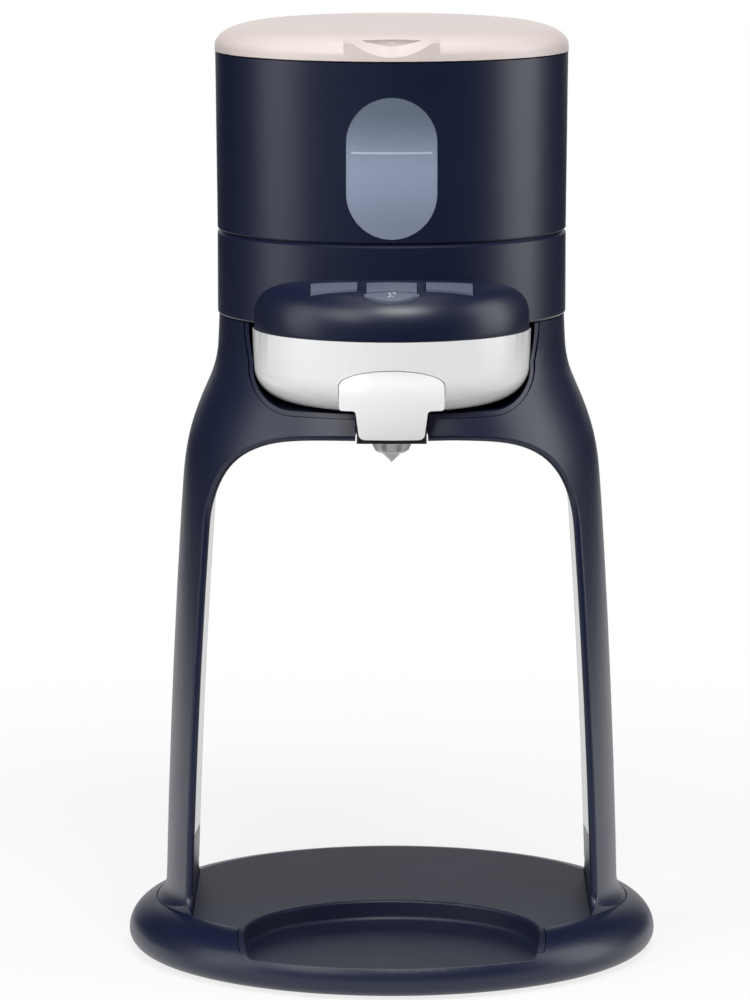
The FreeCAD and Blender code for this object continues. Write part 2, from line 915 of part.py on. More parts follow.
def make_control_dome():
    shell = dome_solid(0, dome_bottom).cut(dome_solid(thin_wall, dome_bottom - 5))
    shell = shell.cut(disc(band_radius + 0.1, 0, far))
    for aperture in key_apertures():
        shell = shell.cut(aperture.common(block(-far, far, -far, far, 265, far)))
    solids = sorted(shell.Solids, key=lambda s: s.Volume)
    return solids[-1].removeSplitter()


def dome_screw_places():
    return [(-24.0, -79.0), (24.0, -79.0)]


def make_dome_floor():
    floor = about_bowl(bowl_radius - thin_wall - 0.2, dome_bottom + 0.1, dome_bottom + 1.9)
    floor = floor.cut(disc(band_radius + 0.3, 0, far))
    solids = [s for s in floor.Solids if s.BoundBox.YMin < -80]
    floor = solids[0]
    for x in (-18.0, 18.0):
        post = disc(2.2, dome_bottom + 1.0, board_z, x, -78.0)
        floor = floor.fuse(post)
    return floor.removeSplitter()


def make_control_board():
    board = block(-27, 27, -85.5, -71.2, board_z, board_z + board_thickness)
    board = board.common(about_bowl(bowl_radius - thin_wall - 1.0, 0, far))
    board = board.cut(disc(band_radius + 0.8, 0, far))
    solids = sorted(board.Solids, key=lambda s: s.Volume)
    return solids[-1]


def make_key_switches():
    low = board_z + board_thickness
    switches = []
    for x, y in key_centres():
        case = block(x - 2.2, x + 2.2, y - 1.9, y + 1.9, low, low + switch_height)
        button = disc(1.1, low, key_stem_bottom - key_travel - 0.1, x, y)
        switches.append(case.fuse(button))
    return group(switches)


# Lower head

def make_head_band():
    """Lower head housing with posts that carry the deck."""
    low = band_bottom
    r = band_radius
    c = groove_chamfer
    face = outline("XZ",
                   (r - wall, low),
                   (r - 1.0, low),
                   ((r - 0.29, low + 0.29), (r, low + 1.0)),
                   (r, band_top - c),
                   (r - c, band_top),
                   (r - wall, band_top))
    band = lathe(face)
    for a in head_boss_angles:
        x, y = polar(head_boss_circle, a)
        post = disc(head_boss_radius, tray_top, deck_bottom, x, y)
        post = post.common(disc(r - 0.5, 0, far))
        band = band.fuse(post.cut(disc(1.4, tray_top - 1, deck_bottom + 1, x, y)))
    window = block(-12, 12, -80, -60, board_z, board_z + 4)
    return cut(band, window)


def boiler_feet_places():
    return [(boiler_x + dx, boiler_y + dy) for dx in (-10, 10) for dy in (-10, 10)]


def make_chassis_tray():
    """Floor of the head that carries the pump, boiler and water outlet."""
    tray = disc(band_inner - 0.3, tray_bottom, tray_top)
    for x, y in boiler_feet_places():
        tray = tray.fuse(disc(3.0, tray_top - 1, tray_top + 2.0, x, y))
    saddle = block(pump_x - 9, pump_x + 9, -16, 14, tray_top - 1, pump_z - 4)
    saddle = saddle.cut(Part.makeCylinder(pump_radius + 0.1, 80, V(pump_x, -40, pump_z), Y_DIR))
    tray = tray.fuse(saddle)
    tray = cut(tray, disc(5.2, 0, far, 0, outlet_y))
    for a in head_boss_angles:
        x, y = polar(head_boss_circle, a)
        tray = cut(tray, disc(1.8, 0, far, x, y))
    return cut(tray, disc(6.0, 0, far, 30, 46))


def make_tray_screws():
    shapes = []
    for a in head_boss_angles:
        x, y = polar(head_boss_circle, a)
        shapes.append(screw(x, y, tray_bottom, tray_bottom + 0.1, stand_top - 11, 1.45, 1.6))
    return group(shapes)


def make_tank_deck():
    """Deck that closes the lower head and locates the tank module."""
    deck = disc(band_inner - 0.3, deck_bottom, deck_top)
    collar_r = sleeve_bottom_r - wall - slide_gap
    collar = ring(collar_r, collar_r - collar_width, deck_top - 1, deck_top + collar_height)
    deck = deck.fuse(collar)
    deck = cut(deck, disc(dock_bore + 1.6, 0, far, 0, dock_y))
    for a in head_boss_angles:
        x, y = polar(head_boss_circle, a)
        deck = cut(deck, disc(1.7, 0, far, x, y), disc(3.0, deck_top - 1.2, far, x, y))
    return deck


def make_deck_screws():
    shapes = []
    for a in head_boss_angles:
        x, y = polar(head_boss_circle, a)
        shapes.append(screw(x, y, deck_top - 1.2, deck_top - 0.1, deck_bottom - 10, 1.35, 2.7))
    return group(shapes)


def make_dock_socket():
    """Socket that takes the tank's valve, with the post that opens it."""
    low = deck_top - dock_depth
    body = disc(dock_bore + 1.5, low - 2.0, deck_top, 0, dock_y)
    flange = disc(dock_bore + 4.0, deck_top, deck_top + 1.0, 0, dock_y)
    body = fuse(body, flange)
    body = cut(body, disc(dock_bore, low, far, 0, dock_y))
    post = disc(1.2, low - 1.0, tank_floor - 1.6, 0, dock_y)
    spigot = disc(hose_radius - 0.6, low - 5.0, low - 1.0, 0, dock_y)
    body = fuse(body, post, spigot)
    return cut(body, disc(1.0, low - 6, low - 0.5, 0, dock_y))


def make_dock_seal():
    low = deck_top - 4.0
    return ring(dock_bore, valve_stem_radius + 0.08, low, low + 1.6, 0, dock_y)


def make_pump():
    motor = Part.makeCylinder(pump_radius, 40, V(pump_x, -20, pump_z), Y_DIR)
    front = -36.0
    head = block(pump_x - 10.5, pump_x + 10.5, front, -20, pump_z - 10.5, pump_z + 10.5)
    head = head.makeFillet(2.0, [e for e in head.Edges if abs(e.tangentAt(0).y) > 0.9])
    shaft_end = Part.makeCylinder(3.0, 3.0, V(pump_x, 20, pump_z), Y_DIR)
    inlet = Part.makeCylinder(hose_radius - 0.6, 6.0,
                              V(pump_x - 10.5, -28, pump_z - 1), V(-1, 0, 0))
    outlet = Part.makeCylinder(hose_radius - 0.6, 5.0, V(pump_x, front, pump_z - 7), V(0, -1, 0))
    return fuse(motor, head, shaft_end, inlet, outlet)


def make_boiler():
    low = tray_top + 2.05
    r = boiler_radius
    high = low + boiler_height
    face = outline("XZ",
                   (0, low),
                   (r - 2, low),
                   ((r - 0.6, low + 0.6), (r, low + 2)),
                   (r, high - 3),
                   ((r - 0.9, high - 0.9), (r - 3, high)),
                   (0, high))
    tank = lathe(face, boiler_x, boiler_y)
    inlet = Part.makeCylinder(hose_radius - 0.6, 5.0,
                              V(boiler_x, boiler_y - r + 0.5, pump_z - 7), V(0, -1, 0))
    outlet = Part.makeCylinder(hose_radius - 0.6, 5.0,
                               V(boiler_x, boiler_y - r + 0.5, high - 6), V(0, -1, 0))
    return fuse(tank, inlet, outlet)


def make_temperature_sensor():
    top = tray_top + 2.05 + boiler_height
    base = disc(4.0, top, top + 1.0, boiler_x, boiler_y)
    return fuse(base, disc(2.4, top, top + 3.0, boiler_x, boiler_y))


def make_suction_hose():
    start = deck_top - dock_depth - 2.1
    z = pump_z - 1
    return tube_along([(0, dock_y, start), (0, dock_y, z), (0, -28, z),
                       (pump_x - 10.5 - 0.1, -28, z)], hose_radius, hose_bend).cut(
        fuse(disc(hose_radius - 0.58, start - 4, far, 0, dock_y),
             Part.makeCylinder(hose_radius - 0.58, 8.0,
                               V(pump_x - 10.5, -28, z), V(-1, 0, 0))))


def make_pressure_hose():
    z = pump_z - 7
    front = -36.0
    edge = boiler_y - boiler_radius
    run = -47.0
    hose = tube_along([(pump_x, front - 0.1, z), (pump_x, run, z), (boiler_x, run, z),
                       (boiler_x, edge - 0.1, z)], hose_radius, hose_bend)
    ports = fuse(Part.makeCylinder(hose_radius - 0.58, 8.0, V(pump_x, front, z), V(0, -1, 0)),
                 Part.makeCylinder(hose_radius - 0.58, 8.0, V(boiler_x, edge, z), V(0, -1, 0)))
    return hose.cut(ports)


def make_hot_hose():
    z = tray_top + 2.05 + boiler_height - 6
    start = boiler_y - boiler_radius
    run = -43.5
    end = outlet_top() + 0.1
    hose = tube_along([(boiler_x, start - 0.1, z), (boiler_x, run, z), (0, run, z),
                       (0, outlet_y, z), (0, outlet_y, end)], hose_radius, hose_bend)
    ports = fuse(Part.makeCylinder(hose_radius - 0.58, 5.5, V(boiler_x, start + 1, z),
                                   V(0, -1, 0)),
                 disc(hose_radius - 0.58, end - 1, end + 3.5, 0, outlet_y))
    return hose.cut(ports)


def outlet_top():
    return tray_top + 7.0


def make_water_outlet():
    """Hot water outlet above the bowl, through the chassis tray."""
    low = bowl_top + 0.6
    body = disc(5.0, low, tray_top + 4.0, 0, outlet_y)
    flange = disc(8.5, tray_top + 0.05, tray_top + 1.8, 0, outlet_y)
    neck = disc(3.6, tray_top + 4, outlet_top(), 0, outlet_y)
    spigot = disc(hose_radius - 0.6, outlet_top() - 1, outlet_top() + 3.4, 0, outlet_y)
    return cut(fuse(body, flange, neck, spigot), disc(1.0, low - 1, far, 0, outlet_y))


def make_power_board():
    board = block(-34, 34, 28.5, 54, power_board_z + 0.05, power_board_z + 1.65)
    coil = block(-26, -4, 33, 50, power_board_z + 1.5, power_board_z + 17)
    capacitor = disc(5.0, power_board_z + 1.5, power_board_z + 14, 8, 38)
    relay = block(16, 30, 32, 42, power_board_z + 1.5, power_board_z + 12)
    return fuse(board, coil, capacitor, relay)


def lead_route():
    """Lead from the gland, round inside the base and up the right leg."""
    x = arch_foot_x + 5.8
    z = 8.6
    return [(0, 98.2, gland_z),
            (0, 90.0, gland_z),
            (34.0, 84.0, z),
            (66.0, 60.0, z),
            (x, 24.0, z),
            (x, 0, z + 1.0),
            (x, 0, 34.0),
            (arch_middle_x + 5.9, 0, 104.0),
            (arch_spring_x + 6.3, 0, 178.0),
            (72.5, 6.0, 218.0),
            (58.0, 30.0, 240.0),
            (34.2, 46.0, 240.0)]


def make_leg_lead():
    """Mains wiring, each bend as large as its two runs allow."""
    route = [V(*p) for p in lead_route()]
    edges = []
    here = route[0]
    for before, corner, after in zip(route, route[1:], route[2:]):
        back = before - corner
        ahead = after - corner
        reach = 0.45 * min(back.Length, ahead.Length)
        half = back.getAngle(ahead) / 2.0
        bend = reach * math.tan(half)
        back.normalize()
        ahead.normalize()
        start = corner + back * reach
        end = corner + ahead * reach
        bisector = (back + ahead).normalize()
        middle = corner + bisector * (bend / math.sin(half) - bend)
        edges.append(Part.makeLine(here, start))
        edges.append(Part.Arc(start, middle, end).toShape())
        here = end
    edges.append(Part.makeLine(here, route[-1]))
    path = Part.Wire(edges)
    circle = Part.Circle(route[0], (route[1] - route[0]).normalize(), lead_radius)
    return path.makePipeShell([Part.Wire([circle.toShape()])], True, True)


# Tank module

def window_face(grow):
    half = window_half_width + grow
    low = window_bottom - grow
    high = window_top + grow
    return outline("XZ",
                   (half, low + half),
                   (half, high - half),
                   ((0, high), (-half, high - half)),
                   (-half, low + half),
                   ((0, low), (half, low + half)))


def sleeve_radius(z):
    share = (z - sleeve_bottom) / (sleeve_top - sleeve_bottom)
    return sleeve_bottom_r + share * (sleeve_top_r - sleeve_bottom_r)


def sleeve_wall(outset, thickness):
    """Turned wall between the sleeve's face less outset and its inside."""
    c = groove_chamfer if outset == 0 else 0.0
    low_r = sleeve_bottom_r - outset
    high_r = sleeve_top_r - outset
    face = outline("XZ",
                   (low_r - thickness, sleeve_bottom),
                   (low_r - c, sleeve_bottom),
                   (low_r, sleeve_bottom + c),
                   (high_r, sleeve_top),
                   (high_r - thickness, sleeve_top)) if c else outline(
        "XZ",
        (low_r - thickness, sleeve_bottom),
        (low_r, sleeve_bottom),
        (high_r, sleeve_top),
        (high_r - thickness, sleeve_top))
    return lathe(face)


def make_tank_sleeve():
    sleeve = sleeve_wall(0, wall)
    ledge_top = tank_top - tank_flange - 0.1
    ledge = ring(sleeve_top_r - 1.0, tank_radius + 0.4, ledge_top - 2.5, ledge_top)
    sleeve = sleeve.fuse(ledge)
    sleeve = sleeve.cut(through(window_face(0.15), -far, 0))
    for side in (-1, 1):
        x0 = side * (lid_knuckle_half + 0.3)
        x1 = x0 + side * ear_width
        sleeve = sleeve.fuse(hinge_ear(min(x0, x1), max(x0, x1)))
    bore = Part.makeCylinder(hinge_pin_radius, 60, V(-30, hinge_y, hinge_z), X_DIR)
    return cut(sleeve, bore)


def hinge_ear(x0, x1):
    """Ear on the sleeve's back that holds one end of the hinge pin."""
    k = knuckle_radius
    root = sleeve_top_r - 1.6
    face = outline("YZ",
                   (root, sleeve_top - 16),
                   (hinge_y + k, hinge_z - 5),
                   (hinge_y + k, hinge_z),
                   ((hinge_y, hinge_z + k), (hinge_y - k, hinge_z)),
                   (hinge_y - k, sleeve_top),
                   (root, sleeve_top))
    return raised(face, V(x1 - x0, 0, 0), V(x0, 0, 0))


def make_level_window():
    lens = sleeve_wall(0.25, wall - 0.5)
    return lens.common(through(window_face(0), -far, 0))


def make_water_tank():
    r = tank_radius
    t = thin_wall
    c = 4.0
    face = outline("XZ",
                   (0, tank_floor),
                   (r - c, tank_floor),
                   ((r - 0.29 * c, tank_floor + 0.29 * c), (r, tank_floor + c)),
                   (r, tank_top - tank_flange),
                   (sleeve_top_r - wall - 0.4, tank_top - tank_flange),
                   (sleeve_top_r - wall - 0.4, tank_top),
                   (r - t, tank_top),
                   (r - t, tank_floor + t + 2.0),
                   ((r - t - 0.6, tank_floor + t + 0.6), (r - t - 2.0, tank_floor + t)),
                   (0, tank_floor + t))
    tank = lathe(face)
    return cut(tank, disc(valve_bore + 0.05, 0, far, 0, dock_y))


def make_tank_valve():
    """Valve seat clipped through the tank's floor."""
    low = deck_top - 5.0
    under = tank_floor - 0.05
    over = tank_floor + thin_wall + 0.05
    stem = disc(valve_stem_radius, low, under, 0, dock_y)
    neck = disc(valve_bore, under, over, 0, dock_y)
    seat = disc(8.0, over, over + 1.4, 0, dock_y)
    body = fuse(stem, neck, seat)
    return cut(body, disc(3.2, 0, far, 0, dock_y))


def make_valve_plunger():
    rest = tank_floor - 1.55
    seat_top = tank_floor + thin_wall + 1.45
    head_low = seat_top + 1.0
    rod = disc(plunger_radius, rest, head_low, 0, dock_y)
    head = disc(4.4, head_low, head_low + 1.2, 0, dock_y)
    fins = block(-3.1, 3.1, dock_y - 0.5, dock_y + 0.5, rest + 2, seat_top - 0.5)
    cross = block(-0.5, 0.5, dock_y - 3.1, dock_y + 3.1, rest + 2, seat_top - 0.5)
    guide = fins.fuse(cross).common(disc(3.12, rest, far, 0, dock_y))
    return fuse(rod, head, guide)


# Lid

def lid_solid(inset):
    r = lid_radius - inset
    face = outline("XZ",
                   (0, lid_bottom if inset == 0 else lid_bottom - 5),
                   (r, lid_bottom if inset == 0 else lid_bottom - 5),
                   (r, lid_bottom + 1.2),
                   curve("XZ",
                         [(r, lid_bottom + 1.2),
                          (lid_radius - 2.4 - 0.8 * inset, lid_bottom + 5.0 - 0.6 * inset),
                          (lid_shoulder_r - 0.3 * inset, lid_shoulder_z - inset),
                          (0.52 * lid_shoulder_r, lid_crown_z - 1.3 - inset),
                          (0, lid_crown_z - inset)],
                         (-0.1, 1), (-1, 0)))
    return lathe(face)


def make_lid():
    body = lid_solid(0)
    tab = block(-tab_half_width, tab_half_width, -lid_radius - 1, -lid_shoulder_r + 6,
                lid_bottom, tab_top)
    tab = tab.common(disc(lid_radius, lid_bottom, far))
    body = body.fuse(tab)
    scoop = Part.makeSphere(tab_scoop_radius,
                            V(0, -lid_radius - 6.0, tab_scoop_z + tab_scoop_radius))
    body = body.cut(scoop.common(block(-far, far, -far, 0, 0, far)))
    hollow = lid_solid(thin_wall)
    front_wall = block(-tab_half_width - 2, tab_half_width + 2, -far, -lid_shoulder_r + 22,
                       0, far)
    hollow = hollow.cut(front_wall)
    body = body.cut(hollow)
    plug_r = tank_radius - thin_wall - 0.9
    plug = ring(plug_r, plug_r - 1.8, tank_top - 1.4, lid_shoulder_z - 1.4)
    body = body.fuse(plug.common(lid_solid(0).fuse(disc(plug_r, 0, lid_bottom + 1))))
    arm = outline("YZ",
                  (lid_radius - 4, lid_bottom + 0.2),
                  (hinge_y, hinge_z - knuckle_radius + 0.6),
                  (hinge_y, hinge_z + knuckle_radius),
                  (lid_radius - 6, hinge_z + knuckle_radius))
    arm = raised(arm, V(2 * lid_knuckle_half, 0, 0), V(-lid_knuckle_half, 0, 0))
    knuckle = Part.makeCylinder(knuckle_radius, 2 * lid_knuckle_half,
                                V(-lid_knuckle_half, hinge_y, hinge_z), X_DIR)
    body = body.fuse(arm).fuse(knuckle)
    bore = Part.makeCylinder(hinge_pin_radius + pin_fit, 60, V(-30, hinge_y, hinge_z), X_DIR)
    return cut(body, bore)


def make_lid_seal():
    plug_r = tank_radius - thin_wall - 0.9
    return ring(plug_r + 0.6, plug_r, tank_top - 1.2, tank_top + 0.6)


def make_hinge_pin():
    half = lid_knuckle_half + 0.3 + ear_width
    return Part.makeCylinder(hinge_pin_radius, 2 * half, V(-half, hinge_y, hinge_z), X_DIR)


NODES = {
    "base_ring": make_base_ring,
    "base_plate": make_base_plate,
    "base_cover": make_bottom_cover,
    "rubber_feet": make_rubber_feet,
    "cover_screws": make_cover_screws,
    "leg_screws": make_leg_screws,
    "ballast_weight": make_ballast,
    "cord_gland": make_cord_gland,
    "power_lead": make_leg_lead,
    "stand_frame": make_stand_frame,
    "arch_liner": make_arch_liner,
    "drawer_bay": make_drawer_bay,
    "powder_bowl": make_powder_bowl,
    "spout_cover": make_spout_cover,
    "mixing_chamber": make_mixing_chamber,
    "outlet_seal": make_outlet_seal,
    "nozzle": make_nozzle,
    "control_dome": make_control_dome,
    "dome_floor": make_dome_floor,
    "control_board": make_control_board,
    "key_switches": make_key_switches,
    "key_left": lambda: make_side_key(-1),
    "key_centre": make_centre_key,
    "key_right": lambda: make_side_key(1),
    "key_front": make_front_key,
    "head_band": make_head_band,
    "chassis_tray": make_chassis_tray,
    "tray_screws": make_tray_screws,
    "tank_deck": make_tank_deck,
    "deck_screws": make_deck_screws,
    "dock_socket": make_dock_socket,
    "dock_seal": make_dock_seal,
    "water_pump": make_pump,
    "boiler": make_boiler,
    "temperature_sensor": make_temperature_sensor,
    "suction_hose": make_suction_hose,
    "pressure_hose": make_pressure_hose,
    "hot_hose": make_hot_hose,
    "water_outlet": make_water_outlet,
    "power_board": make_power_board,
    "tank_sleeve": make_tank_sleeve,
    "level_window": make_level_window,
    "water_tank": make_water_tank,
    "tank_valve": make_tank_valve,
    "valve_plunger": make_valve_plunger,
    "lid": make_lid,
    "lid_seal": make_lid_seal,
    "hinge_pin": make_hinge_pin,
}

os.makedirs("parts", exist_ok=True)
for name, make in NODES.items():
    shape = make()
    shape.exportStep("parts/" + name + ".step")
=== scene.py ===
import math

import bpy
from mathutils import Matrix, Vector


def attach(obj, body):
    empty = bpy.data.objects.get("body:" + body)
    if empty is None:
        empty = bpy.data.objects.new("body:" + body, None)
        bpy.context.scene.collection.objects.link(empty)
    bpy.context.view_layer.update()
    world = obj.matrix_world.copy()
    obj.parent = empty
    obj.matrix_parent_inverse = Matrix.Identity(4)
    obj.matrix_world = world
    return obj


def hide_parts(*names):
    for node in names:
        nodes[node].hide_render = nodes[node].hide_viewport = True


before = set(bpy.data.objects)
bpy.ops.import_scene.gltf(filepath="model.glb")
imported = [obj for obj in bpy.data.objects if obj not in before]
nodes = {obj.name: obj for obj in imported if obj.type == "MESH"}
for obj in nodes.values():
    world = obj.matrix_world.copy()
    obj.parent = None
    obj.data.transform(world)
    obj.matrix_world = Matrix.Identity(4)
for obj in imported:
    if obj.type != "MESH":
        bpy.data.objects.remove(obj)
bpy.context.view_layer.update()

# Lengths are metres, written as millimetres where they are small
mm = 0.001

# Camera: where it stood, how it was tilted and where the machine's middle fell in the picture
camera_distance = 2.285
camera_height = 0.5152
camera_tilt = math.radians(8.28)
picture_height_px = 1000.0
picture_middle_px = 375.0
machine_middle_px = 391.7
focal_px = 5710.0
sensor = 36.0               # in the camera's own units, as its lens is

# Studio
backdrop_white = 1.0
backdrop_fill = 0.5         # how much of the backdrop's light falls on matt surfaces
backdrop_edge = (0.88, 0.99)    # how squarely behind the machine the backdrop starts and is full
room_dark = 0.03            # level of the unlit room in front
floor_size = 9.0
floor_pale = 0.9
floor_glow_near = 0.8       # share of plain white near the machine, where its shadow shows
shadow_reach = (0.25, 0.7)  # distances over which that share grows to the whole
sweep_half = 0.65           # all but the camera find the floor lit only this far to each side
sweep_front = -0.32         # and dark in front of this line
lamp_target = (0, 0, 0.2)
lamps = {                   # place, width and height, watts
    "left_box": ((-1.5, -0.35, 0.55), (0.9, 1.5), 9),
    "right_box": ((1.5, 0.05, 0.55), (0.9, 1.5), 13),
    "key_box": ((-1.3, -1.6, 1.5), (1.2, 1.2), 20),
    "front_box": ((0.3, -1.9, 2.4), (1.4, 0.9), 62),
    "top_box": ((0, -0.2, 1.9), (1.4, 1.2), 6),
}

# Finishes
grain_scale = 1500.0
fine_grain_scale = 2500.0
brushed_grain_scale = 900.0
mottle_scale = 60.0
relief_depth = 0.2 * mm

# Window: frosted lens, paler in the middle, darker towards the bottom and darkest towards the
# top, under a level line
lens_heights = (298.0 * mm, 322.0 * mm, 346.0 * mm)
lens_low = (0.210, 0.245, 0.335, 1)
lens_middle = (0.275, 0.323, 0.448, 1)
lens_high = (0.125, 0.158, 0.215, 1)
lens_line = (0.48, 0.53, 0.64, 1)
level_height = 329.0 * mm
level_thickness = 0.5 * mm
level_half = 15.5 * mm

# Facets
turns = 160                 # round a turned piece
small_turns = 48            # round a small hole or knuckle
pin_turns = 32
lid_steps = 30
bowl_steps = 16
dome_steps = 24

# Trimming tools, longer than what they cut
head_tool_reach = 200.0 * mm
head_tool_z = 270.0 * mm
drawer_tool_reach = 100.0 * mm
drawer_tool_z = 240.0 * mm
drawer_tool_front = -100.0 * mm
tab_tool_reach = 50.0 * mm
tab_tool_rise = 15.0 * mm   # middle of the tab's trimming tool above the rim

# Lid
lid_radius = 70.8 * mm
lid_rim = 364.6 * mm
lid_side_top = 366.6 * mm   # where the upright rim starts to round over
lid_crown = 377.0 * mm
lid_fullness = 6.0          # how square the shoulder is
lid_wall = 2.2 * mm
lid_edge = 0.35 * mm
plug_radius = 63.3 * mm
plug_bottom = 360.4 * mm
plug_top = 372.0 * mm
plug_wall = 1.8 * mm
tab_half = 18.6 * mm
tab_front_top = 370.4 * mm
tab_overhang = 2.0 * mm     # trimmed off flush with the rim
tab_back = -62.0 * mm
tab_back_top = 373.4 * mm
scoop_radius = 36.0 * mm
scoop_back = (-64.2 * mm, 370.7 * mm)
scoop_front = (-70.8 * mm, 366.2 * mm)
hinge_y = 74.3 * mm
hinge_z = 366.2 * mm
knuckle_radius = 3.2 * mm
knuckle_half = 7.3 * mm
arm_root = 4.0 * mm         # how far the hinge arm reaches in from the rim
arm_rise = 0.4 * mm
pin_bore = 1.55 * mm

# Powder bowl
drawer_y = -34.6 * mm
bowl_radius = 55.3 * mm
bowl_top = 257.2 * mm
bowl_bottom = 228.2 * mm
bowl_corner = (16.5 * mm, 14.0 * mm)
bowl_taper = 0.4 * mm
bowl_wall = 2.2 * mm
bowl_edge = 0.3 * mm
bowl_last_ring = 2.0 * mm
pad_inset = 0.02 * mm       # keeps the niche's backing just inside the bowl's skin
niche_radius = 51.4 * mm
niche_drop = 10.0 * mm      # how far the niche's tool reaches below the bowl
spout_half = 20.8 * mm
spout_arch_z = 239.8 * mm
spout_arch_rise = 6.4 * mm
outlet_place = (0, -58.0 * mm, 228.0 * mm)
outlet_radius = 7.0 * mm
outlet_reach = 20.0 * mm

# Control dome
head_radius = 70.0 * mm
dome_radius = 55.2 * mm
dome_bottom = 257.5 * mm
dome_skirt = 8.0 * mm       # drawn below the bottom, and trimmed off after the lean
dome_height = 24.5 * mm
dome_side = 4.0 * mm        # upright part of the side
dome_powers = (0.4, 0.8)    # squareness of the shoulder
dome_lean = math.radians(3)
dome_wall = 2.2 * mm
dome_edge = 0.3 * mm
base_tool_low = (-100.0 * mm, -150.0 * mm, 220.0 * mm)
base_tool_back = (100.0 * mm, 100.0 * mm)

# Keys
key_proud = 0.6 * mm
key_gap = 0.3 * mm
key_edge = 0.25 * mm
key_bottom = 269.6 * mm
key_room = 1.6 * mm         # room in the dome below a key, for its travel
key_tool_top = 297.5 * mm
side_key_radii = (74.4 * mm, 80.2 * mm)
side_key_x = (13.4 * mm, 31.6 * mm)
side_key_y = (-90.0 * mm, -50.0 * mm)
centre_key_half = 9.8 * mm
centre_key_y = (-81.5 * mm, -74.4 * mm)
front_key_half = 30.0 * mm  # cut back to the crescent's arc
front_key_y = (-100.0 * mm, -82.4 * mm)
front_key_radius = 16.9 * mm
front_key_middle = -69.3 * mm
key_bodies = {"key_left": "left_key", "key_right": "right_key",
              "key_centre": "centre_key", "key_front": "front_key"}

# Plain number on the front key
number_size = 3.4 * mm
number_place = (0, -84.9 * mm, 300.0 * mm)
number_lift = 0.04 * mm


def deselect():
    bpy.ops.object.select_all(action="DESELECT")


def make_camera():
    """Camera at the photograph's viewing angle."""
    data = bpy.data.cameras.new("camera")
    data.lens = focal_px * sensor / picture_height_px
    data.sensor_width = sensor
    data.shift_x = (picture_middle_px - machine_middle_px) / picture_height_px
    data.clip_start = 0.05
    data.clip_end = 60.0
    camera = bpy.data.objects.new("camera", data)
    camera.location = (0, -camera_distance, camera_height)
    camera.rotation_euler = (math.pi / 2 - camera_tilt, 0, 0)
    bpy.context.scene.collection.objects.link(camera)
    bpy.context.scene.camera = camera


# Node tree helpers

def add_node(tree, kind, **settings):
    node = tree.nodes.new(kind)
    for name, value in settings.items():
        setattr(node, name, value)
    return node


def wire(tree, start, end):
    tree.links.new(start, end)


def math_node(tree, operation, first, second=None, third=None, clamp=False):
    node = add_node(tree, "ShaderNodeMath", operation=operation, use_clamp=clamp)
    for place, value in enumerate((first, second, third)):
        if value is None:
            continue
        if isinstance(value, (int, float)):
            node.inputs[place].default_value = value
        else:
            wire(tree, value, node.inputs[place])
    return node.outputs[0]


def map_range(tree, value, low, high, out_low=0.0, out_high=1.0, smooth=True):
    node = add_node(tree, "ShaderNodeMapRange")
    node.interpolation_type = "SMOOTHSTEP" if smooth else "LINEAR"
    wire(tree, value, node.inputs["Value"])
    node.inputs["From Min"].default_value = low
    node.inputs["From Max"].default_value = high
    node.inputs["To Min"].default_value = out_low
    node.inputs["To Max"].default_value = out_high
    return node.outputs["Result"]


def mix_colour(tree, share, first, second):
    node = add_node(tree, "ShaderNodeMix", data_type="RGBA")
    wire(tree, share, node.inputs[0])
    for socket, value in ((node.inputs[6], first), (node.inputs[7], second)):
        if isinstance(value, tuple):
            socket.default_value = value
        else:
            wire(tree, value, socket)
    return node.outputs[2]


def split_place(tree, place):
    """Take a place apart into its X, Y and Z."""
    axes = add_node(tree, "ShaderNodeSeparateXYZ")
    wire(tree, place, axes.inputs[0])
    return axes.outputs


def new_group(name, inputs, outputs):
    """Shader node group with named sockets."""
    group = bpy.data.node_groups.new(name, "ShaderNodeTree")
    for label, kind, value in inputs:
        socket = group.interface.new_socket(label, in_out="INPUT", socket_type=kind)
        socket.default_value = value
    for label, kind in outputs:
        group.interface.new_socket(label, in_out="OUTPUT", socket_type=kind)
    start = group.nodes.new("NodeGroupInput")
    end = group.nodes.new("NodeGroupOutput")
    return group, start, end


# Finishes

def make_moulded_group():
    """Fine moulded grain with soft mottling: puts out roughness, colour shade and height."""
    number = "NodeSocketFloat"
    group, start, end = new_group(
        "moulded_skin",
        [("Grain Scale", number, grain_scale), ("Roughness", number, 0.35),
         ("Roughness Swing", number, 0.04), ("Grain Depth", number, 0.5),
         ("Shade Swing", number, 0.06)],
        [("Roughness", number), ("Shade", number), ("Height", number)])
    place = add_node(group, "ShaderNodeTexCoord")
    grain = add_node(group, "ShaderNodeTexNoise")
    grain.inputs["Detail"].default_value = 2.0
    wire(group, place.outputs["Object"], grain.inputs["Vector"])
    wire(group, start.outputs["Grain Scale"], grain.inputs["Scale"])
    mottle = add_node(group, "ShaderNodeTexNoise")
    mottle.inputs["Scale"].default_value = mottle_scale
    mottle.inputs["Detail"].default_value = 4.0
    wire(group, place.outputs["Object"], mottle.inputs["Vector"])
    off_middle = math_node(group, "SUBTRACT", mottle.outputs["Fac"], 0.5)
    swing = math_node(group, "MULTIPLY", off_middle, start.outputs["Roughness Swing"])
    rough = math_node(group, "ADD", swing, start.outputs["Roughness"], clamp=True)
    shade = math_node(group, "MULTIPLY_ADD", off_middle, start.outputs["Shade Swing"], 1.0)
    height = math_node(group, "MULTIPLY", grain.outputs["Fac"], start.outputs["Grain Depth"])
    wire(group, rough, end.inputs["Roughness"])
    wire(group, shade, end.inputs["Shade"])
    wire(group, height, end.inputs["Height"])
    return group


moulded_skin = make_moulded_group()


def blank_material(name):
    material = bpy.data.materials.new(name)
    material.use_nodes = True
    tree = material.node_tree
    return material, tree, tree.nodes["Principled BSDF"]


